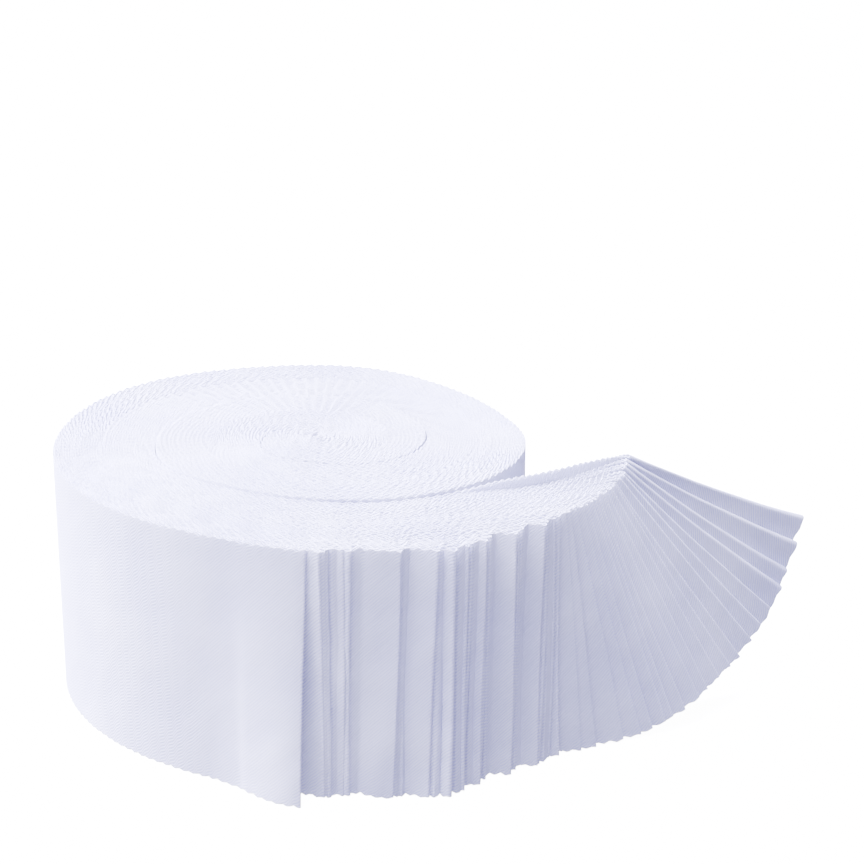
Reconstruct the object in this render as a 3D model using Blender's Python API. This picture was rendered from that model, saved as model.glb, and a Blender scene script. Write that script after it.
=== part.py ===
"""A wound roll of folded quilting strips, its last stretch loosened and fanned.

Cotton strips are folded in half end to end, stacked, and the stack is wound up flat. The roll
stands on its strips' long edges. Seen from above it winds inwards clockwise from the front.
The folded ends of the tail step back along the front, then fan out to the right. The roll is
one solid, and each folded end that stands clear of it is a solid of its own.
Frame: metres, +Z up, origin under the middle of the roll, -Y is the front.
"""

import math

import bmesh
import bpy
from mathutils import Vector

MM = 0.001

STRIP_WIDTH = 63.5 * MM
SHEET = 1.0 * MM
GAP = 0.3 * MM
ROOT_GAP = 0.45 * MM
LEAF_PITCH = SHEET + 0.38 * MM

# The stack's outer surface: its radius at each sweep, clockwise from the front.
# Columns: sweep in degrees, radius in mm. The second and third turns carry on from the first.
WINDING = (
    (0, 74.1),
    (12, 70.8),
    (24, 68.4),
    (47, 66.9),
    (90, 66.5),
    (129, 66.3),
    (161, 61.5),
    (190, 59.0),
    (221, 53.2),
    (248, 51.9),
    (274, 54.2),
    (305, 53.2),
    (331, 48.9),
    (360, 43.4),
    (388, 40.2),
    (428, 41.2),
    (480, 37.5),
    (540, 31.2),
    (590, 28.6),
    (640, 28.4),
    (672, 26.4),
    (720, 19.0),
    (760, 16.6),
    (830, 11.0),
    (890, 6.5),
)
SECTION_STEP = 7.5
TAIL_STEPS = 20
ROOT_SLANT = 0.5 * MM
LEAD_FADE = 60.0
DISC_RISE = 1.2 * MM
DISC_RISE_FROM = 235.0
DISC_RISE_TO = 320.0
CORE_CENTRE_SHARE = 0.4

# The tail leaves the roll at the front and runs to the right, along +X.
OUTER_ROOT_X = -12.0 * MM
INNER_ROOT_X = 37.5 * MM
CLOSE_UP = 14.0 * MM
# Columns: distance to the right, place of the tail's front face, both in mm.
TAIL_FRONT = (
    (-20.0, -67.0),
    (-12.0, -70.4),
    (0.0, -74.0),
    (20.0, -73.6),
    (38.0, -73.4),
)

# The folded ends that step back along the front: how far right each one reaches, in mm.
OUTER_ENDS = (1.3, 5.1, 7.2, 10.4, 11.9, 23.5, 31.9, 36.2)
INNER_ENDS = (39.4, 40.8, 42.1, 43.4, 44.8, 46.6, 48.7, 51.2, 53.4, 55.4, 57.4)
STEP_ALONG = 2.5 * MM
FAN_STEPS = 10
FOLD_PINCH = 0.62
FOLD_REACH = 0.45
END_FLARE = 5.6 * MM
END_FLARE_LENGTH = 20.0 * MM

# The fanned ends, from the first to the last: the two corners of the folded end, in mm.
# Columns: share of the fan, top corner x, y, z, bottom corner x, y, z.
FAN = (
    (0.00, 60.0, -52.6, 63.5, 61.0, -52.6, 0.0),
    (0.20, 65.5, -47.2, 63.5, 81.7, -44.2, 1.0),
    (0.42, 70.5, -41.2, 64.0, 94.6, -37.7, 6.0),
    (0.62, 74.2, -36.0, 64.8, 107.1, -24.9, 12.0),
    (0.79, 76.5, -32.0, 66.3, 116.8, -14.6, 21.0),
    (1.00, 78.0, -28.0, 69.0, 125.8, -2.0, 41.0),
)
FAN_COUNT = 14
FAN_SPREAD = 0.5
FAN_SPREAD_FROM = 48.0 * MM
FAN_SPREAD_TO = 110.0 * MM
FAN_BELLY = 2.0 * MM
TOP_CORNER_COLUMN = 1
BOTTOM_CORNER_COLUMN = 4

COTTON = (0.86, 0.86, 0.93, 1.0)
COTTON_ROUGHNESS = 0.9


def clear_scene():
    for old in list(bpy.data.objects):
        bpy.data.objects.remove(old, do_unlink=True)


def cotton_material(name):
    material = bpy.data.materials.new(name)
    material.use_nodes = True
    shader = material.node_tree.nodes["Principled BSDF"]
    shader.inputs["Base Color"].default_value = COTTON
    shader.inputs["Roughness"].default_value = COTTON_ROUGHNESS
    shader.inputs["Metallic"].default_value = 0.0
    material.diffuse_color = COTTON
    return material


def smooth_step(value):
    value = min(1.0, max(0.0, value))
    return value * value * (3.0 - 2.0 * value)


def read_row(table, place):
    """All columns of a table at a place in its first column, on a smooth curve through its rows."""
    last = len(table) - 1
    place = min(table[last][0], max(table[0][0], place))
    row = 0
    while row < last - 1 and place > table[row + 1][0]:
        row += 1
    start, end = table[row], table[row + 1]
    before = table[max(0, row - 1)]
    after = table[min(last, row + 2)]
    span = end[0] - start[0]
    share = (place - start[0]) / span
    values = []
    for column in range(1, len(start)):
        slope_in = (end[column] - before[column]) / (end[0] - before[0]) * span
        slope_out = (after[column] - start[column]) / (after[0] - start[0]) * span
        ease = share * share * (3.0 - 2.0 * share)
        hold_in = share * (1.0 - share) ** 2
        hold_out = share * share * (share - 1.0)
        value = start[column] + (end[column] - start[column]) * ease
        values.append(value + slope_in * hold_in + slope_out * hold_out)
    return values


def winding_radius(sweep):
    return read_row(WINDING, sweep)[0] * MM


def on_circle(sweep, radius):
    angle = math.radians(-90.0 - sweep)
    return Vector((radius * math.cos(angle), radius * math.sin(angle), 0.0))


def top_height(sweep):
    share = (sweep - DISC_RISE_FROM) / (DISC_RISE_TO - DISC_RISE_FROM)
    return STRIP_WIDTH + DISC_RISE * smooth_step(share)


def tail_front(x):
    return read_row(TAIL_FRONT, x / MM)[0] * MM


def packed_depth(x, ends):
    """How much of the tail's depth the ends in front still fill: each closes up past its end."""
    depth = 0.0
    for end in ends:
        depth += LEAF_PITCH * (1.0 - smooth_step((x - end * MM) / CLOSE_UP))
    return depth


def make_object(name, mesh_builder, material):
    mesh = bpy.data.meshes.new(name)
    bmesh.ops.recalc_face_normals(mesh_builder, faces=mesh_builder.faces[:])
    mesh_builder.to_mesh(mesh)
    mesh_builder.free()
    mesh.materials.append(material)
    mesh.shade_smooth()
    mesh.set_sharp_from_angle(angle=math.radians(35.0))
    made = bpy.data.objects.new(name, mesh)
    bpy.context.scene.collection.objects.link(made)
    return made


def roll_sections():
    """Plan points of the roll's two sides, from the tail's root round to the core.

    Each section is (outer point, inner point, top height). The tail's straight stretch comes
    first, from its root back to where the outermost ends leave the roll, then the winding.
    """
    sections = []
    tail_start = INNER_ROOT_X - ROOT_GAP
    tail_stop = OUTER_ROOT_X - ROOT_GAP
    for step in range(TAIL_STEPS + 1):
        x = tail_start + (tail_stop - tail_start) * step / TAIL_STEPS
        outer = Vector((x, tail_front(x) + packed_depth(x, OUTER_ENDS) + GAP, 0.0))
        sections.append((outer, seam_side(seam_sweep(x)), STRIP_WIDTH))
    first_sweep = math.degrees(math.atan2(-tail_stop + ROOT_SLANT, -tail_front(tail_stop)))
    inner_lead = seam_sweep(tail_stop - ROOT_SLANT / 2.0) - 360.0 - first_sweep
    sweep = first_sweep
    while sweep <= WINDING[-1][0] - 360.0:
        lead = inner_lead * (1.0 - smooth_step((sweep - first_sweep) / LEAD_FADE))
        outer = on_circle(sweep, winding_radius(sweep))
        inner = seam_side(sweep + 360.0 + lead)
        sections.append((outer, inner, top_height(sweep)))
        sweep = SECTION_STEP * (math.floor(sweep / SECTION_STEP + 0.2) + 1)
    return sections


def seam_side(sweep):
    """A point on the inner side of a turn, a gap away from the turn inside it."""
    return on_circle(sweep, winding_radius(sweep) + GAP)


def seam_sweep(x):
    """The sweep, near the front of the second turn, at which that side passes x."""
    low, high = 270.0, 420.0
    for _ in range(30):
        middle = (low + high) / 2.0
        if seam_side(middle).x > x:
            low = middle
        else:
            high = middle
    return high


def add_wall(builder, lower, upper):
    count = len(lower)
    for index in range(count):
        following = (index + 1) % count
        builder.faces.new((lower[index], lower[following], upper[following], upper[index]))


def core_rim():
    """Plan points and heights round the core, one turn on from the last section of the roll."""
    start = SECTION_STEP * math.floor((WINDING[-1][0] - 360.0) / SECTION_STEP)
    rim = []
    for step in range(1, round(360.0 / SECTION_STEP) + 1):
        sweep = start + SECTION_STEP * step
        rim.append((on_circle(sweep, winding_radius(sweep)), top_height(sweep)))
    return rim


def flat_side(builder, sections, rim, level):
    """The roll's underside, at level 0, or its top, at level 1, and the loop round its border."""
    def vertex(point, height):
        return builder.verts.new((point.x, point.y, height * level))

    outer = [vertex(point, height) for point, _, height in sections]
    inner = [vertex(point, height) for _, point, height in sections]
    core = [vertex(point, height) for point, height in rim]
    middle = sum((point for point, _ in rim), Vector()) / len(rim)
    centre = vertex(middle * CORE_CENTRE_SHARE, rim[-1][1])
    for index in range(len(sections) - 1):
        following = index + 1
        builder.faces.new((outer[index], outer[following], inner[following], inner[index]))
    border = [outer[-1]] + core + [inner[-1]]
    for index in range(len(border)):
        following = (index + 1) % len(border)
        builder.faces.new((centre, border[index], border[following]))
    return outer + core + inner[::-1]


def wound_roll(material):
    builder = bmesh.new()
    sections = roll_sections()
    rim = core_rim()
    lower = flat_side(builder, sections, rim, 0)
    upper = flat_side(builder, sections, rim, 1)
    add_wall(builder, lower, upper)
    return make_object("wound_roll", builder, material)


def folded_end(name, surface, shares, width_steps, material):
    """One folded strip end: two faces either side of a middle surface, closed by its fold.

    The surface gives a point for a share along the strip and a share down its width.
    """
    half = SHEET / 2.0
    nudge = 0.001
    fold_half = half * FOLD_PINCH
    fold_reach = half * FOLD_REACH
    length_steps = len(shares) - 1
    front, back = [], []
    for along, share in enumerate(shares):
        for down in range(width_steps + 1):
            drop = down / width_steps
            point = surface(share, drop)
            run = surface(min(1.0, share + nudge), drop) - surface(max(0.0, share - nudge), drop)
            fall = surface(share, min(1.0, drop + nudge)) - surface(share, max(0.0, drop - nudge))
            normal = fall.cross(run).normalized()
            front.append(point + normal * half)
            back.append(point - normal * half)
            if along == length_steps:
                heading = (run - normal * run.dot(normal)).normalized()
                front[-1] = point + normal * fold_half + heading * fold_reach
                back[-1] = point - normal * fold_half + heading * fold_reach

    row = width_steps + 1
    builder = bmesh.new()
    sides = []
    for points in (front, back):
        side = []
        for point in points:
            side.append(builder.verts.new((point.x, point.y, max(0.0, point.z))))
        sides.append(side)
    for side in sides:
        for along in range(length_steps):
            for down in range(width_steps):
                corner = along * row + down
                builder.faces.new((
                    side[corner],
                    side[corner + 1],
                    side[corner + 1 + row],
                    side[corner + row],
                ))
    border = [down for down in range(row)]
    border += [along * row + width_steps for along in range(1, length_steps + 1)]
    border += [length_steps * row + down for down in range(width_steps - 1, -1, -1)]
    border += [along * row for along in range(length_steps - 1, 0, -1)]
    add_wall(builder, [sides[0][place] for place in border], [sides[1][place] for place in border])
    bmesh.ops.triangulate(builder, faces=builder.faces[:])
    return make_object(name, builder, material)


def even_shares(start, end, step):
    """Shares of a stretch at even steps from its start, so that neighbours bend at one place."""
    shares = []
    place = start
    while place < end - step * 0.4:
        shares.append((place - start) / (end - start))
        place += step
    return shares + [1.0]


def outer_end_surface(index):
    """The middle surface of an end that stops along the front, behind those that stop sooner."""
    end = OUTER_ENDS[index] * MM - SHEET / 2.0
    flare = END_FLARE if index == 0 else 0.0

    def surface(share, drop):
        x = OUTER_ROOT_X + (end - OUTER_ROOT_X) * share
        y = tail_front(x) + packed_depth(x, OUTER_ENDS[:index]) + SHEET / 2.0
        lean = smooth_step(1.0 - (end - x) / END_FLARE_LENGTH) * drop ** 1.5
        return Vector((x, y - flare * lean, STRIP_WIDTH * (1.0 - drop)))

    return surface


def inner_root_y(number):
    """Where the ends behind the front ones leave the roll, counted from the front."""
    first = tail_front(INNER_ROOT_X) + packed_depth(INNER_ROOT_X, OUTER_ENDS) + SHEET / 2.0
    return first + LEAF_PITCH * number


def fan_pitch(x):
    """The spacing of the ends behind the front ones, which opens out along the fan."""
    share = (x - FAN_SPREAD_FROM) / (FAN_SPREAD_TO - FAN_SPREAD_FROM)
    return LEAF_PITCH * (1.0 + FAN_SPREAD * smooth_step(share))


def edge_line(first_column, root_height):
    """The line that the long edges share: its sideways shift and its height, in mm, at each x."""
    rows = [(INNER_ROOT_X / MM, 0.0, root_height / MM)]
    for row in FAN:
        x, y, z = row[first_column:first_column + 3]
        before = row[0] * (FAN_COUNT - 1) * fan_pitch(x * MM)
        first_y = inner_root_y(len(INNER_ENDS))
        rows.append((x, y - (first_y + before) / MM, z))
    return rows


def edge_point(line, number, x):
    """A point at x on a long edge of the strip end that is counted from the front one."""
    shift, height = read_row(line, x / MM)
    spread = (number - len(INNER_ENDS)) * (fan_pitch(x) - LEAF_PITCH)
    y = inner_root_y(number) + shift * MM + max(0.0, spread)
    return Vector((x, y, height * MM))


def inner_end_surface(index):
    """The middle surface of an end that stops short of the fan."""
    end = INNER_ENDS[index] * MM - SHEET / 2.0
    line = edge_line(TOP_CORNER_COLUMN, STRIP_WIDTH)

    def surface(share, drop):
        top = edge_point(line, index, INNER_ROOT_X + (end - INNER_ROOT_X) * share)
        return Vector((top.x, top.y, STRIP_WIDTH * (1.0 - drop)))

    return surface


def fanned_surface(index):
    """The middle surface of a fanned end, between a top and a bottom edge of unlike reach."""
    number = len(INNER_ENDS) + index
    share_of_fan = index / (FAN_COUNT - 1)
    corners = read_row(FAN, share_of_fan)
    top_reach = corners[0] * MM - INNER_ROOT_X
    bottom_reach = corners[3] * MM - INNER_ROOT_X
    top_line = edge_line(TOP_CORNER_COLUMN, STRIP_WIDTH)
    bottom_line = edge_line(BOTTOM_CORNER_COLUMN, 0.0)

    def surface(share, drop):
        top = edge_point(top_line, number, INNER_ROOT_X + top_reach * share)
        bottom = edge_point(bottom_line, number, INNER_ROOT_X + bottom_reach * share)
        belly = FAN_BELLY * share_of_fan * smooth_step(share) * 4.0 * drop * (1.0 - drop)
        return top.lerp(bottom, drop) + Vector((0.0, -belly, -0.5 * belly))

    return surface


def build():
    clear_scene()
    cotton = cotton_material("white_cotton")
    wound_roll(cotton)
    number = 1
    for index in range(len(OUTER_ENDS)):
        shares = even_shares(OUTER_ROOT_X, OUTER_ENDS[index] * MM, STEP_ALONG)
        folded_end(f"strip_end_{number:02d}", outer_end_surface(index), shares, 3, cotton)
        number += 1
    for index in range(len(INNER_ENDS)):
        shares = even_shares(INNER_ROOT_X, INNER_ENDS[index] * MM, STEP_ALONG)
        folded_end(f"strip_end_{number:02d}", inner_end_surface(index), shares, 1, cotton)
        number += 1
    shares = [step / FAN_STEPS for step in range(FAN_STEPS + 1)]
    for index in range(FAN_COUNT):
        folded_end(f"strip_end_{number:02d}", fanned_surface(index), shares, 8, cotton)
        number += 1


build()
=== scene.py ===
import math

import bpy
import numpy as np
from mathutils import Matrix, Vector


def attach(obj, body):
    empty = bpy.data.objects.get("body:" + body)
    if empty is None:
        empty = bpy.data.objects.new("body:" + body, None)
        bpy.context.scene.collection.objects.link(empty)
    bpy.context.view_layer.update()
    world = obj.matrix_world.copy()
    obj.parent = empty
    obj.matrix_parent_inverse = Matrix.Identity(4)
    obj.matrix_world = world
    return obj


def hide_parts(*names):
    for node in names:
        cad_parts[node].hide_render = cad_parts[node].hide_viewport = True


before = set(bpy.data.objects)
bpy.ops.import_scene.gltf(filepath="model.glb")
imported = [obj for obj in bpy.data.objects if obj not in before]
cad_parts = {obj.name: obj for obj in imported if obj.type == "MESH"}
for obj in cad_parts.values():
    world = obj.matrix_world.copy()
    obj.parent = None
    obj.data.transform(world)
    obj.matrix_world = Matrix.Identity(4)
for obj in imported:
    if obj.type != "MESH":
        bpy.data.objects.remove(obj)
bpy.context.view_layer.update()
MM = 0.001

# Camera. It looks down on the roll from the front at about twenty degrees, from a little over
# half a metre away, with a long lens.
CAMERA_PLACE = (30.1 * MM, -560.0 * MM, 267.3 * MM)
CAMERA_TILT = 70.13
CAMERA_LENS = 96.72
SENSOR_WIDTH = 36.0

camera_data = bpy.data.cameras.new("camera")
camera_data.lens = CAMERA_LENS
camera_data.sensor_width = SENSOR_WIDTH
camera_data.clip_start = 0.01
camera = bpy.data.objects.new("camera", camera_data)
camera.location = CAMERA_PLACE
camera.rotation_euler = (math.radians(CAMERA_TILT), 0.0, 0.0)
bpy.context.scene.collection.objects.link(camera)
bpy.context.scene.camera = camera


# Studio. A white floor lies under even, bluish surroundings. One broad lamp stands on the left and
# a little behind, a second hangs above, and a weak third fills in from the front.
class Sockets:
    """A shader value whose operators add Math nodes, so that shading is written as arithmetic."""

    def __init__(self, tree, socket):
        self.tree = tree
        self.socket = socket

    def math(self, operation, first, second=None):
        node = self.tree.nodes.new("ShaderNodeMath")
        node.operation = operation
        for place, value in enumerate((first, second)):
            if isinstance(value, Sockets):
                self.tree.links.new(value.socket, node.inputs[place])
            elif value is not None:
                node.inputs[place].default_value = value
        return Sockets(self.tree, node.outputs[0])

    def __add__(self, other):
        return self.math("ADD", self, other)

    def __radd__(self, other):
        return self.math("ADD", other, self)

    def __sub__(self, other):
        return self.math("SUBTRACT", self, other)

    def __rsub__(self, other):
        return self.math("SUBTRACT", other, self)

    def __mul__(self, other):
        return self.math("MULTIPLY", self, other)

    def __rmul__(self, other):
        return self.math("MULTIPLY", other, self)

    def sine(self):
        return self.math("SINE", self)

    def node(self, kind, settings=None, values=None, output=0):
        """Any other node: its type, its settings, and the values or links of its sockets."""
        made = self.tree.nodes.new(kind)
        for name, value in (settings or {}).items():
            setattr(made, name, value)
        for name, value in (values or {}).items():
            if isinstance(value, Sockets):
                self.tree.links.new(value.socket, made.inputs[name])
            else:
                made.inputs[name].default_value = value
        return Sockets(self.tree, made.outputs[output])


FLOOR_SIZE = 6.0
FLOOR_WHITE = (1.0, 1.0, 1.0, 1.0)
FLOOR_GLOW = 14.0
MATT = 0.9
SURROUND = (0.61, 0.61, 1.0, 1.0)
SURROUND_STRENGTH = 1.1
LAMP_COLOUR = (0.70, 0.69, 1.0)
ROLL_MIDDLE = (0.02, -0.02, 0.03)
# Columns: name, place in metres, size in metres, power in watts.
LAMPS = (
    ("lamp_left", (-1.4, 0.5, 0.55), 0.9, 330.0),
    ("lamp_above", (-0.45, -0.05, 1.5), 1.2, 300.0),
    ("lamp_front", (-0.1, -0.8, 1.3), 0.9, 25.0),
)


def floor_material():
    """White paper that glows evenly, so that it stays plain under the object."""
    material = bpy.data.materials.new("floor_white")
    material.use_nodes = True
    shader = material.node_tree.nodes["Principled BSDF"]
    shader.inputs["Base Color"].default_value = FLOOR_WHITE
    shader.inputs["Roughness"].default_value = MATT
    shader.inputs["Emission Color"].default_value = FLOOR_WHITE
    shader.inputs["Emission Strength"].default_value = FLOOR_GLOW
    return material


def soft_lamp(name, place, target, size, watts):
    data = bpy.data.lights.new(name, "AREA")
    data.color = LAMP_COLOUR
    data.size = size
    data.energy = watts
    lamp = bpy.data.objects.new(name, data)
    lamp.location = place
    aim = Vector(target) - Vector(place)
    lamp.rotation_euler = aim.to_track_quat("-Z", "Y").to_euler()
    bpy.context.scene.collection.objects.link(lamp)


bpy.ops.object.select_all(action="DESELECT")
bpy.ops.mesh.primitive_plane_add(size=FLOOR_SIZE, location=(0.0, 0.0, 0.0))
floor = bpy.context.object
floor.name = "floor"
floor.data.materials.append(floor_material())
floor.visible_diffuse = False
floor.visible_glossy = False

world = bpy.data.worlds.new("surroundings")
world.use_nodes = True
world.node_tree.nodes["Background"].inputs["Color"].default_value = SURROUND
world.node_tree.nodes["Background"].inputs["Strength"].default_value = SURROUND_STRENGTH
bpy.context.scene.world = world

for name, place, size, watts in LAMPS:
    soft_lamp(name, place, ROLL_MIDDLE, size, watts)

# Strips. Each is a length of white quilting cotton with pinked long edges, cut across the width
# of the cloth and folded in half end to end. The folded strips are stacked and wound up together
# from their cut ends, so each strip's fold comes out at the free end of the roll.
STRIP_COUNT = 40
STRIP_WIDTH = 63.5 * MM
CLOTH = 0.27 * MM
TOOTH_PITCH = 2.75 * MM
TOOTH_DEPTH = 0.8 * MM

# How far each layer stands off the strip's middle, and how much more in the tail.
LAYER_OFFSET = 0.17 * MM
TAIL_OPENS = 0.3

# The gap between the turns, and the sweep round which it opens into a dark seam.
SEAM_GAP = 0.3 * MM
SEAM_OPENING = 0.5 * MM
SEAM_OPENS_AT = 725.0
SEAM_OPENS_OVER = 45.0

# The stack's outer surface: its radius at each sweep, clockwise from the front.
# Columns: sweep in degrees, radius in mm. The second and third turns carry on from the first.
WINDING = (
    (0, 74.1),
    (12, 70.8),
    (24, 68.4),
    (47, 66.9),
    (90, 66.5),
    (129, 66.3),
    (161, 61.5),
    (190, 59.0),
    (221, 53.2),
    (248, 51.9),
    (274, 54.2),
    (305, 53.2),
    (331, 48.9),
    (360, 43.4),
    (388, 40.2),
    (428, 41.2),
    (480, 37.5),
    (540, 31.2),
    (590, 28.6),
    (640, 28.4),
    (672, 26.4),
    (720, 19.0),
    (760, 16.6),
    (830, 11.0),
    (890, 6.5),
    (980, 5.2),
    (1070, 3.9),
    (1160, 2.6),
    (1250, 1.4),
    (1340, 0.6),
)
CORE_SWEEP = 1240.0
CORE_THINS_FROM = 540.0
CORE_THINS_OVER = 20.0
STACK_DEPTH = 27.0 * MM
SWEEP_STEP = 0.75
DISC_RISE = 0.7 * MM
DISC_RISE_FROM = 235.0
DISC_RISE_TO = 320.0

# The tail leaves the roll at the front and runs to the right, along +X.
OUTER_ROOT_X = -12.45 * MM
ROOT_SLANT = 0.5 * MM
LEAD_FADE = 60.0
SEAM_SEARCH = (425.0, 270.0, 800)
INNER_ROOT_X = 37.5 * MM
TAIL_FRONT = (
    (-20.0, -67.0),
    (-12.0, -70.4),
    (0.0, -74.0),
    (20.0, -73.6),
    (38.0, -73.4),
)
# How far right each fold reaches, in mm: those along the front, then those short of the fan.
OUTER_ENDS = (1.3, 5.1, 7.2, 10.4, 11.9, 23.5, 31.9, 36.2)
INNER_ENDS = (38.7, 39.3, 42.5, 43.0, 43.5, 50.0, 50.5, 51.1, 56.6, 57.3, 59.1)
SOLID_PITCH = 1.38
SOLID_SHEET = 1.0
SOLID_CLOSE_UP = 14.0
CLOSE_UP = 7.0

# Where the folds end together. The stack swells forward toward each, the more the longer its panel
# is, and falls back behind it. The swell fades toward the strips at the back.
PANEL_ENDS = (1.3, 5.1, 7.2, 11.9, 23.5, 31.9, 36.2, 39.3, 43.5, 51.1, 57.3, 63.0)
PANEL_SWELL = 2.3 * MM
PANEL_GROWTH = 4.0
PANEL_CURVE = 1.6
PANEL_FALL = 1.3
PANEL_FADE = 0.85
PANEL_FADE_STRIPS = 14.0
PANEL_UNEVEN = 0.25

# How thick the folds along the front are rounded, in mm, and how far they lean to the left below.
OUTER_LOOPS = (0.1, 0.3, 0.9, 0.2, 0.5, 0.15, 0.3, 0.7)
OUTER_LEANS = (1.6, 0.4, 0.8, 0.6, 0.7, 2.0, 2.0, 1.5)
INNER_LOOPS = (0.1, 0.25)
INNER_LEANS = (0.4, 1.2)
FAN_LOOP = 0.15
OPEN_LOOP = 0.75
OPEN_LOOP_AT_TOP = 0.15
LOOP_LENGTH = 3.2
LOOP_UNEVEN = 0.35
FOLD_SWAY = 0.25 * MM

# Creases in the panels. Columns: x, height, half width, half height, depth, in mm. They reach the
# strips near the front in full and fade over the next ones.
CREASES = (
    (8.5, 40.0, 2.2, 4.0, -0.9),
    (9.5, 28.0, 2.5, 9.0, 0.7),
    (19.5, 7.0, 3.0, 5.0, 0.9),
    (15.5, 4.0, 2.5, 5.0, -0.7),
    (17.0, 30.0, 4.0, 14.0, -0.4),
    (28.0, 20.0, 3.0, 12.0, 0.4),
)
CREASE_STRIPS = 3.0
CREASE_FADE_STRIPS = 12.0

# The outermost strip's end stands off the roll at the bottom.
END_FLARE = 5.6 * MM
END_FLARE_LENGTH = 26.0 * MM
FLARE_SWEEP = 14.0
FLARE_AT_TOP = 0.03
FLARE_CURVE = 1.5

# The fanned folds, from the first to the last: the two corners of the fold, in mm.
# Columns: share of the fan, top corner x, y, z, bottom corner x, y, z.
FAN = (
    (0.00, 60.0, -52.6, 63.5, 61.0, -52.6, 0.0),
    (0.20, 65.5, -47.2, 63.5, 81.7, -44.2, 1.0),
    (0.42, 70.5, -41.2, 64.0, 94.6, -37.7, 6.0),
    (0.62, 74.2, -36.0, 64.8, 107.1, -24.9, 12.0),
    (0.79, 76.5, -32.0, 66.3, 116.8, -14.6, 21.0),
    (1.00, 78.0, -28.0, 69.0, 126.8, -2.0, 43.4),
)
FAN_SOLIDS = 14
FAN_SPREAD = 0.5
FAN_SPREAD_FROM = 48.0
FAN_SPREAD_TO = 110.0
FAN_COUNT = STRIP_COUNT - len(OUTER_ENDS) - len(INNER_ENDS)
FAN_BELLY = 1.2 * MM
FAN_BELLY_DROP = 0.5
# The unevenness of the fan's folds. Columns: height, turns for each strip in radians, start.
FAN_UNEVENNESS = 0.18 / 1.3
FAN_WAVES = (
    (1.0, 2.3, 0.0),
    (0.6, 5.1, 1.0),
)
# How late the top edges rise toward the fold. The last strip rises early and stands up behind.
FAN_TOP_RISE = 2.2
LAST_TOP_RISE = 0.8
BACK_LIFT = 0.6 * MM
BACK_LIFT_GROWS = 0.25
BACK_LIFT_FADES = (0.6, 0.4)
OPEN_FOLDS_FROM = 0.8

# The courses are smoothed where the strips leave the roll and where they enter the tail.
SMOOTH_REACH = 22
ROOT_SMOOTH_FROM = (18.0 * MM, 12.0 * MM)
ROOT_SMOOTH_TO = (58.0 * MM, 14.0 * MM)
JUNCTION_REACH = 20.0 * MM

# Waves: in the tight core, and over the panels along the front.
CORE_TIGHT = 9.0 * MM
CORE_WAVE = 0.8 * MM
CORE_WAVE_LENGTH = 4.5 * MM
CORE_WAVE_REACH = 8.0 * MM
PANEL_WAVE = 0.2 * MM
PANEL_WAVE_FROM = 2.0 * MM
PANEL_WAVE_GROWS = 20.0 * MM
PANEL_WAVE_AT_EDGE = 0.4
# Columns: height, mm for a radian along X, mm for a radian upward, start.
PANEL_WAVES = (
    (1.0, 6.1, 23.0, 1.3),
    (0.7, 3.4, -11.0, 0.0),
)

# How finely the sheets are drawn.
TAIL_ROWS = 9
TAIL_STEP = 0.5 * MM
CORE_STEP = 0.6 * MM
FOLD_STEP = 0.55 * MM
FOLD_FINE = 7.0 * MM
ARC_STEPS = 7
SHARP_ANGLE = 50.0


def smooth_step(value):
    value = np.clip(value, 0.0, 1.0)
    return value * value * (3.0 - 2.0 * value)


def read_table(table, place, column=1):
    """One column of a table at places in its first column, on a smooth curve through its rows."""
    rows = np.array(table, dtype=float)
    last = len(rows) - 1
    place = np.clip(np.asarray(place, dtype=float), rows[0, 0], rows[last, 0])
    row = np.clip(np.searchsorted(rows[:, 0], place, side="left") - 1, 0, last - 1)
    before = np.maximum(row - 1, 0)
    after = np.minimum(row + 2, last)
    span = rows[row + 1, 0] - rows[row, 0]
    share = (place - rows[row, 0]) / span
    start = rows[row, column]
    end = rows[row + 1, column]
    slope_in = (end - rows[before, column]) / (rows[row + 1, 0] - rows[before, 0]) * span
    slope_out = (rows[after, column] - start) / (rows[after, 0] - rows[row, 0]) * span
    ease = share * share * (3.0 - 2.0 * share)
    hold_in = share * (1.0 - share) ** 2
    hold_out = share * share * (share - 1.0)
    return start + (end - start) * ease + slope_in * hold_in + slope_out * hold_out


def winding_radius(sweep):
    """The radius of the stack's outer surface at a sweep, in metres."""
    return read_table(WINDING, sweep) * MM


def on_circle(sweep, radius):
    """The plan point at a sweep, clockwise from the front, and a radius."""
    angle = np.radians(-90.0 - sweep)
    return np.stack([radius * np.cos(angle), radius * np.sin(angle)], axis=-1)


def seam_side(sweep):
    """The inner side of the turn before, a little outside the turn that starts at a sweep."""
    opened = np.exp(-((np.asarray(sweep) - SEAM_OPENS_AT) / SEAM_OPENS_OVER) ** 2)
    return on_circle(sweep, winding_radius(sweep) + SEAM_GAP + SEAM_OPENING * opened)


seam_sweeps = np.linspace(*SEAM_SEARCH)
seam_xs = seam_side(seam_sweeps)[:, 0]


def seam_sweep(x):
    """The sweep, near the front of the second turn, at which the tail's inner side passes x."""
    return np.interp(x, seam_xs, seam_sweeps)


def tail_front(x):
    """How far forward the tail's outer surface stands at x."""
    return read_table(TAIL_FRONT, np.asarray(x) / MM) * MM


def ended_before(x, count, close_up):
    """How many of the front strips have ended at x, each counted in full a little past its fold."""
    ended = np.zeros_like(np.asarray(x, dtype=float))
    for end in OUTER_ENDS[:count]:
        ended = ended + smooth_step((np.asarray(x) / MM - end) / close_up)
    return ended


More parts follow.
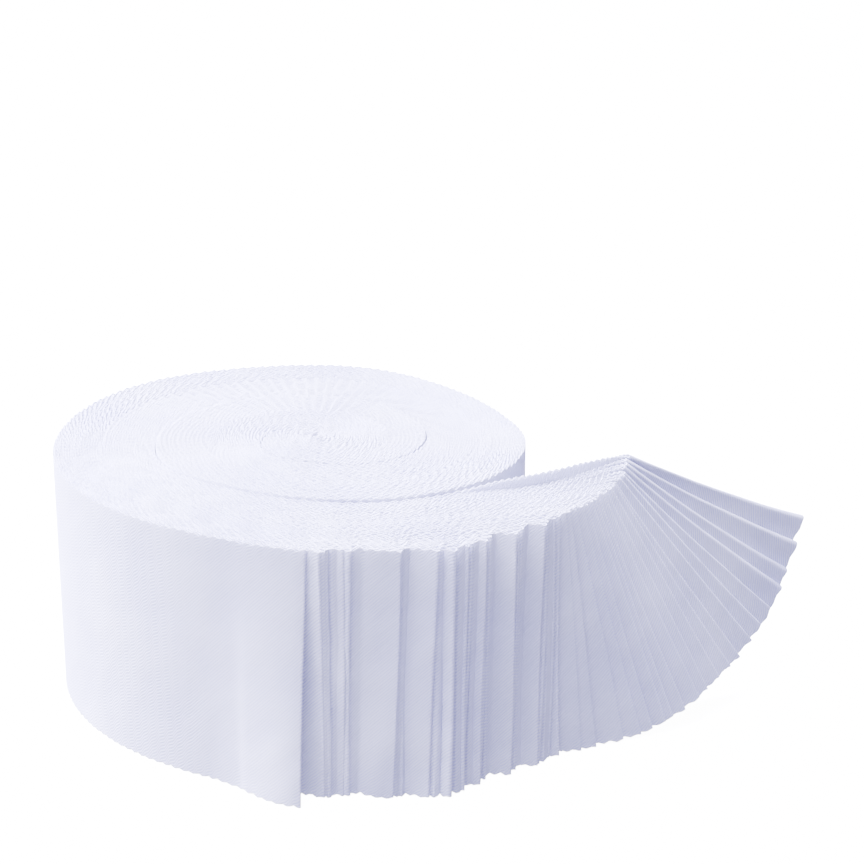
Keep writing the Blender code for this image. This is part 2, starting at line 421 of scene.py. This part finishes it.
def front_swell(x, strip):
    """How far the stack's front swells forward at x, in metres: most just before each fold."""
    place = np.asarray(x) / MM
    swell = np.zeros_like(place)
    for before, end in zip(PANEL_ENDS[:-1], PANEL_ENDS[1:]):
        height = PANEL_SWELL * (1.0 - math.exp(-(end - before) / PANEL_GROWTH))
        rising = np.clip((place - before) / (end - before), 0.0, 1.0) ** PANEL_CURVE
        falling = 1.0 - smooth_step((place - end) / PANEL_FALL)
        swell = np.maximum(swell, height * np.where(place <= end, rising, falling))
    in_front = np.zeros_like(place)
    for end in OUTER_ENDS + INNER_ENDS:
        in_front = in_front + smooth_step((place - end) / PANEL_FALL + 1.0)
    return swell * (1.0 - PANEL_FADE * smooth_step((strip - in_front) / PANEL_FADE_STRIPS))


def fan_share(strip):
    """How far round the fan a strip's fold lies, from 0 to 1: the folds are unevenly spaced."""
    place = strip - len(OUTER_ENDS) - len(INNER_ENDS)
    last = FAN_COUNT - 1
    if 0 < place < last:
        waves = [height * math.sin(rate * place + start) for height, rate, start in FAN_WAVES]
        place += FAN_UNEVENNESS * sum(waves)
    return max(0.0, place / last)


def solid_number(strip):
    """The place of a strip among the solid ends behind the front ones, which are fewer in the fan."""
    number = strip - len(OUTER_ENDS)
    first = len(INNER_ENDS)
    if number < first:
        return float(number)
    return first + fan_share(strip) * (FAN_SOLIDS - 1)


def root_y(number):
    """How far back a strip stands where it leaves the roll, by its place among the solid ends."""
    packed = len(OUTER_ENDS) - ended_before(INNER_ROOT_X, len(OUTER_ENDS), SOLID_CLOSE_UP)
    first = tail_front(INNER_ROOT_X) / MM + SOLID_PITCH * packed + SOLID_SHEET / 2.0
    return (first + SOLID_PITCH * number) * MM


def fan_pitch(x):
    """The distance between the fan's solid ends at x, in mm: it grows toward the right."""
    share = (x / MM - FAN_SPREAD_FROM) / (FAN_SPREAD_TO - FAN_SPREAD_FROM)
    return SOLID_PITCH * (1.0 + FAN_SPREAD * smooth_step(share))


def edge_line(corner, root_height):
    """The line that the long edges share past the roll: sideways shift and height at each x."""
    rows = [(INNER_ROOT_X / MM, 0.0, root_height)]
    for row in FAN:
        x, y, z = row[corner:corner + 3]
        before = row[0] * (FAN_SOLIDS - 1) * float(fan_pitch(x * MM))
        rows.append((x, y - float(root_y(len(INNER_ENDS))) / MM - before, z))
    return rows


top_line = edge_line(1, STRIP_WIDTH / MM)
bottom_line = edge_line(4, 0.0)


def edge_point(line, number, x):
    """The point at x of the long edge of a solid end, on the top or the bottom line."""
    spread = max(0.0, number - len(INNER_ENDS)) * (fan_pitch(x) - SOLID_PITCH)
    y = root_y(number) + (read_table(line, x / MM) + spread) * MM
    return np.stack([x, y, read_table(line, x / MM, 2) * MM], axis=-1)


# How much of the stack still runs on at each sweep: in the core the outer strips end first.
core_sweeps = np.arange(CORE_THINS_FROM, CORE_SWEEP + 1.0, 1.0)
core_depth = winding_radius(core_sweeps) - winding_radius(core_sweeps + 360.0)
core_ended = np.maximum.accumulate(np.clip(1.0 - core_depth / STACK_DEPTH, 0.0, 1.0))
core_ended = core_ended * smooth_step((core_sweeps - CORE_THINS_FROM) / CORE_THINS_OVER)

first_sweep = math.degrees(math.atan2(-OUTER_ROOT_X + ROOT_SLANT, -float(tail_front(OUTER_ROOT_X))))
inner_lead = float(seam_sweep(OUTER_ROOT_X - ROOT_SLANT / 2.0)) - 360.0 - first_sweep


def stack_point(sweep, share):
    """The plan point at a share of the stack's depth, from its outer side, at a sweep."""
    ended = np.interp(sweep, core_sweeps, core_ended, left=0.0)
    lead = inner_lead * (1.0 - smooth_step((sweep - first_sweep) / LEAD_FADE))
    outer = on_circle(sweep, winding_radius(sweep))
    inner = seam_side(sweep + 360.0 + lead)
    place = np.maximum(0.0, (share - ended) / (1.0 - ended))[:, None]
    return outer + (inner - outer) * place


def wound_stretch(share):
    """Plan points and sweeps of a strip that lies at a share of the stack's depth, core first."""
    sweep = np.arange(first_sweep, CORE_SWEEP, SWEEP_STEP)
    running = share >= np.interp(sweep, core_sweeps, core_ended, left=0.0)
    points = stack_point(sweep, share)
    return points[running][::-1], sweep[running][::-1]


def tail_stretch(strip, end_x):
    """Plan points of a strip along the tail, from the roll to end_x or to the inner root."""
    x = np.arange(OUTER_ROOT_X + TAIL_STEP, min(end_x, INNER_ROOT_X), TAIL_STEP)
    front = tail_front(x)
    back = seam_side(seam_sweep(x))[:, 1]
    in_front = min(strip, len(OUTER_ENDS))
    before = ended_before(x, in_front, CLOSE_UP)
    ended = ended_before(x, len(OUTER_ENDS), CLOSE_UP)
    even = (strip + 0.5 - before) / (STRIP_COUNT - ended)
    if strip < len(OUTER_ENDS):
        share = even
    else:
        root_front = float(tail_front(INNER_ROOT_X))
        root_back = float(seam_side(seam_sweep(INNER_ROOT_X))[1])
        at_root = (float(root_y(solid_number(strip))) - root_front) / (root_back - root_front)
        blend = smooth_step((x - OUTER_ROOT_X) / (INNER_ROOT_X - OUTER_ROOT_X))
        share = even + (at_root - even) * blend
    return np.stack([x, front + (back - front) * share], axis=-1)


def smoothed(points, reach):
    """Points along a path, averaged with their neighbours, with the ends carried straight on."""
    head = points[0] + (points[0] - points[1]) * np.arange(reach, 0, -1)[:, None]
    tail = points[-1] + (points[-1] - points[-2]) * np.arange(1, reach + 1)[:, None]
    padded = np.concatenate([head, points, tail])
    weights = np.hanning(2 * reach + 3)[1:-1]
    weights /= weights.sum()
    return np.stack([np.convolve(padded[:, c], weights, "valid") for c in range(3)], axis=-1)


def folded_course(strip):
    """Top and bottom edges of a folded strip's middle, from the core to its fold, and sweeps."""
    share = (strip + 0.5) / STRIP_COUNT
    wound, sweep = wound_stretch(share)
    number = solid_number(strip)
    outer = strip < len(OUTER_ENDS)
    end_x = OUTER_ENDS[strip] * MM if outer else INNER_ROOT_X
    tail = tail_stretch(strip, end_x)
    plan = np.concatenate([wound, tail])
    height = STRIP_WIDTH + DISC_RISE * smooth_step(
        (sweep - DISC_RISE_FROM) / (DISC_RISE_TO - DISC_RISE_FROM)
    )
    height = np.concatenate([height, np.full(len(tail), STRIP_WIDTH)])
    sweep = np.concatenate([sweep, np.full(len(tail), first_sweep)])
    top = np.column_stack([plan, height])
    bottom = np.column_stack([plan, np.zeros(len(plan))])
    if not outer:
        fanned = strip - len(OUTER_ENDS) - len(INNER_ENDS)
        if fanned < 0:
            top_x = bottom_x = INNER_ENDS[strip - len(OUTER_ENDS)] * MM
        else:
            share_of_fan = fan_share(strip)
            top_x = float(read_table(FAN, share_of_fan, 1)) * MM
            bottom_x = float(read_table(FAN, share_of_fan, 4)) * MM
        steps = max(4, math.ceil((top_x + bottom_x - 2.0 * INNER_ROOT_X) / 2.0 / TAIL_STEP))
        run = np.arange(steps + 1) / steps
        top_past = edge_point(top_line, number, INNER_ROOT_X + (top_x - INNER_ROOT_X) * run)
        low_past = edge_point(bottom_line, number, INNER_ROOT_X + (bottom_x - INNER_ROOT_X) * run)
        rise = LAST_TOP_RISE if strip == STRIP_COUNT - 1 else FAN_TOP_RISE
        top_past[:, 2] = STRIP_WIDTH + (top_past[-1, 2] - STRIP_WIDTH) * run ** rise
        if strip == STRIP_COUNT - 1:
            fading = 1.0 - smooth_step((run - BACK_LIFT_FADES[0]) / BACK_LIFT_FADES[1])
            top_past[:, 2] += BACK_LIFT * smooth_step(run / BACK_LIFT_GROWS) * fading
        if fanned < 0:
            low_past = top_past * np.array([1.0, 1.0, 0.0])
            top_past[:, 2] = STRIP_WIDTH
        top = np.concatenate([top, top_past])
        bottom = np.concatenate([bottom, low_past])
        sweep = np.concatenate([sweep, np.full(steps + 1, first_sweep)])
    middle_x = (top[:, 0] + bottom[:, 0]) / 2.0
    steps_on = np.linalg.norm(np.diff((top + bottom) / 2.0, axis=0), axis=1)
    run_on = np.concatenate([[0.0], np.cumsum(steps_on)])
    from_junction = (run_on - run_on[len(wound)]) / JUNCTION_REACH
    in_tail = (sweep == first_sweep)
    near_root = smooth_step((middle_x - ROOT_SMOOTH_FROM[0]) / ROOT_SMOOTH_FROM[1]) * in_tail
    near_root = near_root * (1.0 - smooth_step((middle_x - ROOT_SMOOTH_TO[0]) / ROOT_SMOOTH_TO[1]))
    near_root = np.maximum(near_root, np.exp(-from_junction ** 2))
    for points in (top, bottom):
        points += (smoothed(points, SMOOTH_REACH) - points) * near_root[:, None]
        from_core = np.hypot(points[:, 0], points[:, 1])
        wave = np.sin(2.0 * math.pi * points[:, 0] / CORE_WAVE_LENGTH)
        points[:, 1] += CORE_WAVE * wave * np.exp(-(from_core / CORE_WAVE_REACH) ** 2)
    return top, bottom, sweep


rng = np.random.default_rng(7)

# Where the teeth of neighbouring strips line up into ridges: strips of the stack's inner half on
# the first turn, and of its outer half on the second, round the back of the roll.
# Columns: first strip, last strip, sweep at the middle of the ridges.
RIDGES = (
    (17, 39, 180.0),
    (0, 19, 540.0),
)
RIDGE_HALF_WIDTH = 85.0
RIDGE_FADE = 30.0
RIDGE_LEAD = 60.0

# How much the teeth differ in depth.
TOOTH_VARIETY = 0.25


def tooth_count(strip, run, sweep, radius, shifts):
    """Counts teeth along a strip from its core end, at every point of its course."""
    rate = np.full(len(run), 1.0 / TOOTH_PITCH)
    for first, last, centre in RIDGES:
        if first <= strip <= last:
            lined_up = 1.0 - smooth_step((np.abs(sweep - centre) - RIDGE_HALF_WIDTH) / RIDGE_FADE)
            share = ((first + last) / 2.0 + 0.5) / STRIP_COUNT
            common = np.linalg.norm(stack_point(sweep, share), axis=-1)
            rate = rate * (1.0 + (common / np.maximum(radius, 1.0 * MM) - 1.0) * lined_up)
    count = np.concatenate([[0.0], np.cumsum((rate[1:] + rate[:-1]) / 2.0 * np.diff(run))])
    knots = [(RIDGES[0][2] - RIDGE_HALF_WIDTH - RIDGE_LEAD, 2.0 * shifts[-1])]
    for (first, last, centre), shift in zip(RIDGES, shifts):
        nearest = int(np.argmin(np.abs(sweep - centre)))
        wanted = -(count[nearest] % 1.0) if first <= strip <= last else shift
        knots += [(centre - RIDGE_HALF_WIDTH, wanted), (centre + RIDGE_HALF_WIDTH, wanted)]
    return count + np.interp(sweep, [knot[0] for knot in knots], [knot[1] for knot in knots])


def unit(vectors):
    return vectors / np.maximum(np.linalg.norm(vectors, axis=-1, keepdims=True), 1e-9)


def strip_sheet(strip, material):
    """One folded strip as a thin closed sheet: out along one layer, round the fold and back."""
    top, bottom, sweep = folded_course(strip)
    fanned = strip - len(OUTER_ENDS) - len(INNER_ENDS)
    share_of_fan = fan_share(strip)
    middle = (top + bottom) / 2.0
    run = np.concatenate([[0.0], np.cumsum(np.linalg.norm(np.diff(middle, axis=0), axis=1))])
    total = run[-1]

    loop_front, loop_back = FAN_LOOP * rng.random(), 0.0
    if fanned < 0:
        loop_front = INNER_LOOPS[0] + INNER_LOOPS[1] * rng.random()
    if share_of_fan > OPEN_FOLDS_FROM:
        loop_front, loop_back = OPEN_LOOP, OPEN_LOOP
    if strip < len(OUTER_ENDS):
        loop_front = OUTER_LOOPS[strip]
    if strip < len(OUTER_ENDS):
        fold_lean = OUTER_LEANS[strip] * MM
    else:
        fold_lean = (INNER_LEANS[0] + INNER_LEANS[1] * rng.random()) * MM
    if fanned >= 0:
        fold_lean = 0.0
    fold_phase = 6.0 * rng.random()
    radius_here = np.hypot(middle[:, 0], middle[:, 1])
    layers = []
    for side in (1.0, -1.0):
        teeth = tooth_count(strip, run, sweep, radius_here, rng.random(len(RIDGES) + 1))
        halves = np.arange(math.ceil(teeth[0] * 2.0), math.floor(teeth[-1] * 2.0) + 1) / 2.0
        coarse = np.interp(halves, teeth, run)
        tight = run[np.argmax(radius_here > CORE_TIGHT)]
        coarse = coarse[(coarse > tight + CORE_STEP / 2.0) & (coarse < total - FOLD_FINE)]
        fine = np.arange(coarse[-1] + 0.6 * MM, total - 0.35 * MM, FOLD_STEP)
        core = np.arange(0.0, tight, CORE_STEP)
        stations = np.concatenate([core, [tight], coarse, fine, [total]])
        layers.append((side, stations, teeth))

    drops = np.linspace(0.0, 1.0, TAIL_ROWS)

    def grid(stations):
        at_top = np.stack([np.interp(stations, run, top[:, c]) for c in range(3)], axis=-1)
        at_low = np.stack([np.interp(stations, run, bottom[:, c]) for c in range(3)], axis=-1)
        points = at_top[:, None] + (at_low - at_top)[:, None] * drops[None, :, None]
        x = np.interp(stations, run, middle[:, 0])
        turn = np.interp(stations, run, sweep)
        in_tail = (turn <= first_sweep + 0.01)
        if fanned > 0:
            along = np.clip((x - INNER_ROOT_X) / (middle[-1, 0] - INNER_ROOT_X), 0.0, 1.0)
            belly = FAN_BELLY * share_of_fan * smooth_step(along) * in_tail
            belly = belly[:, None] * 4.0 * drops * (1.0 - drops)
            points[:, :, 1] -= belly
            points[:, :, 2] -= FAN_BELLY_DROP * belly
        height = points[:, :, 2] / MM
        across = points[:, :, 0] / MM
        wave = sum(
            size * np.sin(across / wide + height / tall + start)
            for size, wide, tall, start in PANEL_WAVES
        )
        growth = smooth_step((x - PANEL_WAVE_FROM) / PANEL_WAVE_GROWS) * in_tail
        middling = PANEL_WAVE_AT_EDGE + (1.0 - PANEL_WAVE_AT_EDGE) * np.sin(math.pi * drops)
        points[:, :, 1] += PANEL_WAVE * wave * growth[:, None] * middling
        uneven = PANEL_UNEVEN * np.sin(math.pi * drops + 0.6 * strip)
        held = (1.0 - PANEL_UNEVEN + uneven) * in_tail[:, None]
        if strip > 0 and fanned < 1:
            points[:, :, 1] -= front_swell(across * MM, strip) * held
        for crease_x, crease_z, wide, high, deep in CREASES:
            there = ((across - crease_x) / wide) ** 2 + ((height - crease_z) / high) ** 2
            reach = 1.0 - smooth_step((strip - CREASE_STRIPS) / CREASE_FADE_STRIPS) if strip else 0.0
            points[:, :, 1] -= deep * reach * MM * np.exp(-there) * in_tail[:, None]
        near_end = smooth_step(1.0 - (total - stations) / END_FLARE_LENGTH)[:, None] * in_tail[:, None]
        sway = fold_lean * drops + FOLD_SWAY * np.sin(4.0 * drops + fold_phase)
        points[:, :, 0] -= near_end * sway
        if strip == 0:
            near_end = smooth_step(1.0 - (total - stations) / END_FLARE_LENGTH)[:, None]
            opening = FLARE_AT_TOP + (1.0 - FLARE_AT_TOP) * drops ** FLARE_CURVE
            points[:, :, 1] -= END_FLARE * near_end * opening
        full = turn <= first_sweep + (FLARE_SWEEP if strip == 0 else 0.0) + 0.01
        return points, full, in_tail

    def offset_side(stations, side, in_tail):
        left = (total - stations) / MM
        bulge = loop_front if side > 0 else loop_back
        wave = 1.0 + LOOP_UNEVEN * np.sin(5.0 * drops + strip * 2.1)
        if share_of_fan > OPEN_FOLDS_FROM:
            wave = OPEN_LOOP_AT_TOP + (1.0 - OPEN_LOOP_AT_TOP) * drops ** 2
        swell = np.exp(-(left / LOOP_LENGTH) ** 2)[:, None] * wave[None, :] * bulge * MM
        opened = LAYER_OFFSET * (1.0 + TAIL_OPENS * in_tail)[:, None]
        return side * (opened + swell * in_tail[:, None])

    ribbon, depths, flags, alongs = [], [], [], []
    tips = {}
    for side, stations, teeth in layers:
        reach = (loop_front + loop_back) / 2.0 * MM + LAYER_OFFSET
        stations = np.minimum(stations, total - reach)
        stations = stations[np.concatenate([[True], np.diff(stations) > 1e-6])]
        points, full, in_tail = grid(stations)
        along = unit(np.gradient(points, axis=0))
        down = unit(np.gradient(points, axis=1))
        normal = unit(np.cross(down, along))
        placed = points + normal * offset_side(stations, side, in_tail)[:, :, None]
        phase = np.interp(stations, run, teeth)
        tooth = np.abs((phase % 1.0) - 0.5) * 2.0
        differing = np.sin(7.7 * np.round(phase) + 2.0 * strip + side)
        tooth = tooth * (1.0 - TOOTH_VARIETY + TOOTH_VARIETY * differing)
        tips[side] = (placed[-1], normal[-1], along[-1], tooth[-1])
        if side > 0:
            ribbon.append(placed)
            depths.append(tooth)
            flags.append(full)
            alongs.append(stations)
        else:
            back = (placed[::-1], tooth[::-1], full[::-1], 2.0 * total - stations[::-1])
    front_end, heading = tips[1.0][0], tips[1.0][2]
    back_end = tips[-1.0][0]
    centre = (front_end + back_end) / 2.0
    arm = front_end - centre
    radius = np.linalg.norm(arm, axis=-1, keepdims=True)
    turns = np.radians(np.linspace(0.0, 180.0, ARC_STEPS + 2)[1:-1])
    arc = centre + arm * np.cos(turns)[:, None, None] + heading * radius * np.sin(turns)[:, None, None]
    ribbon += [arc, back[0]]
    step = turns / math.pi
    depths += [tips[1.0][3] + (tips[-1.0][3] - tips[1.0][3]) * step, back[1]]
    flags += [np.ones(ARC_STEPS, dtype=bool), back[2]]
    alongs += [np.linspace(alongs[0][-1], back[3][0], ARC_STEPS + 2)[1:-1], back[3]]
    cloth = np.concatenate(ribbon)
    depth = np.concatenate(depths)
    is_tail = np.concatenate(flags)
    distance = np.concatenate(alongs)

    # The pinked edges: the first and last rows are drawn in and out along the cloth's width.
    down = unit(np.gradient(cloth, axis=1))
    cloth[:, 0] += down[:, 0] * (depth * TOOTH_DEPTH)[:, None]
    cloth[:, -1] -= down[:, -1] * (depth * TOOTH_DEPTH)[:, None]
    along = unit(np.gradient(cloth, axis=0))
    down = unit(np.gradient(cloth, axis=1))
    normal = unit(np.cross(down, along))
    outside = cloth + normal * CLOTH / 2.0
    inside = cloth - normal * CLOTH / 2.0
    for face in (outside, inside):
        face[:, :, 2] = np.maximum(face[:, :, 2], 0.0)
    return sheet_object(f"cotton_strip_{strip + 1:02d}", outside, inside, is_tail, distance, material)


def sheet_object(name, outside, inside, full_rows, distance, material):
    """A closed sheet from two grids of points. Columns in the roll keep their two edge rows only."""
    count, rows = outside.shape[:2]
    index = np.full((2, count, rows), -1, dtype=int)
    points = []
    places = []
    for face, grid_points in enumerate((outside, inside)):
        for column in range(count):
            wanted = range(rows) if full_rows[column] else (0, rows - 1)
            for row in wanted:
                index[face, column, row] = len(points)
                points.append(grid_points[column, row])
                places.append((distance[column], STRIP_WIDTH * (1.0 - row / (rows - 1))))
    faces = []
    for column in range(count - 1):
        here_full, next_full = full_rows[column], full_rows[column + 1]
        for face in (0, 1):
            grid_index = index[face]
            if here_full and next_full:
                loops = [
                    [grid_index[column, row], grid_index[column, row + 1],
                     grid_index[column + 1, row + 1], grid_index[column + 1, row]]
                    for row in range(rows - 1)
                ]
            else:
                left = [grid_index[column, row] for row in range(rows) if grid_index[column, row] >= 0]
                right = [
                    grid_index[column + 1, row] for row in range(rows) if grid_index[column + 1, row] >= 0
                ]
                loops = [left + right[::-1]]
            faces += [loop if face == 0 else loop[::-1] for loop in loops]
        for row, flip in ((0, False), (rows - 1, True)):
            loop = [index[0, column, row], index[0, column + 1, row],
                    index[1, column + 1, row], index[1, column, row]]
            faces.append(loop[::-1] if flip else loop)
    for column, flip in ((0, True), (count - 1, False)):
        front = [index[0, column, row] for row in range(rows) if index[0, column, row] >= 0]
        back = [index[1, column, row] for row in range(rows) if index[1, column, row] >= 0]
        loop = front + back[::-1]
        faces.append(loop[::-1] if flip else loop)
    mesh = bpy.data.meshes.new(name)
    mesh.from_pydata([tuple(point) for point in points], [], [[int(v) for v in loop] for loop in faces])
    layer = mesh.uv_layers.new(name="cloth")
    corner = np.zeros(len(mesh.loops), dtype=int)
    mesh.loops.foreach_get("vertex_index", corner)
    layer.data.foreach_set("uv", np.array(places)[corner].ravel())
    mesh.materials.append(material)
    mesh.shade_smooth()
    mesh.set_sharp_from_angle(angle=math.radians(SHARP_ANGLE))
    made = bpy.data.objects.new(name, mesh)
    bpy.context.scene.collection.objects.link(made)
    return made


# The cloth: two tones, mixed by the twill, the threads and soft clouds, with a little light passing
# through it. The clouds paint shade into the colour as soft darker and lighter blotches, on top of
# the real swell their bump gives the surface.
COTTON_SHADE = (0.62, 0.62, 0.85, 1.0)
COTTON_LIGHT = (0.88, 0.88, 1.0, 1.0)
TWILL_PITCH = 0.85 * MM
THREAD_PITCH = 0.5 * MM
TWILL_TONE = 0.4
THREAD_TONE = 0.15
# How strongly the clouds paint shade into the colour, as soft darker and lighter blotches.
CLOUD_PAINTED_SHADE = 1.3
CLOUD_SCALE = 45.0
CLOUD_SWELL = 1.2 * MM
WEAVE_DEPTH = 0.08 * MM
WEAVE_STRENGTH = 0.35
LIGHT_THROUGH = 0.35
LIGHT_REACH = 1.2 * MM


def cotton_cloth():
    material = bpy.data.materials.new("white_cotton")
    material.use_nodes = True
    tree = material.node_tree
    shader = tree.nodes["Principled BSDF"]
    shader.inputs["Roughness"].default_value = MATT
    shader.inputs["Subsurface Weight"].default_value = LIGHT_THROUGH
    shader.inputs["Subsurface Radius"].default_value = (1.0, 1.0, 1.0)
    shader.inputs["Subsurface Scale"].default_value = LIGHT_REACH
    place = Sockets(tree, tree.nodes.new("ShaderNodeUVMap").outputs[0])
    apart = place.node("ShaderNodeSeparateXYZ", values={"Vector": place})
    along = Sockets(tree, apart.socket.node.outputs["X"])
    across = Sockets(tree, apart.socket.node.outputs["Y"])
    turn = 2.0 * math.pi
    twill = ((along - across) * (turn / TWILL_PITCH)).sine()
    threads = (along * (turn / THREAD_PITCH)).sine() * (across * (turn / THREAD_PITCH)).sine()
    at = Sockets(tree, tree.nodes.new("ShaderNodeTexCoord").outputs["Object"])
    clouds = place.node("ShaderNodeTexNoise", None, {"Vector": at, "Scale": CLOUD_SCALE, "Detail": 2.0})
    # The clouds' term is painted shade: soft darker and lighter blotches mixed into the colour.
    shade = 0.5 + twill * TWILL_TONE + threads * THREAD_TONE + (clouds - 0.5) * CLOUD_PAINTED_SHADE
    tone = place.node("ShaderNodeMix", {"data_type": "RGBA"}, {"Factor": shade})
    mix = tone.socket.node
    mix.inputs["A"].default_value = COTTON_SHADE
    mix.inputs["B"].default_value = COTTON_LIGHT
    tree.links.new(mix.outputs["Result"], shader.inputs["Base Color"])
    swell = place.node("ShaderNodeBump", None, {
        "Height": clouds,
        "Strength": 1.0,
        "Distance": CLOUD_SWELL,
    })
    weave = place.node("ShaderNodeBump", None, {
        "Height": twill + threads * 0.5,
        "Strength": WEAVE_STRENGTH,
        "Distance": WEAVE_DEPTH,
        "Normal": swell,
    })
    tree.links.new(weave.socket, shader.inputs["Normal"])
    return material


cotton = cotton_cloth()
for strip in range(STRIP_COUNT):
    piece = strip_sheet(strip, cotton)
    fanned = strip - len(OUTER_ENDS) - len(INNER_ENDS)
    number = len(OUTER_ENDS) + round(solid_number(strip)) if strip >= len(OUTER_ENDS) else strip
    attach(piece, "root")
    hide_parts("wound_roll", f"strip_end_{number + 1:02d}")
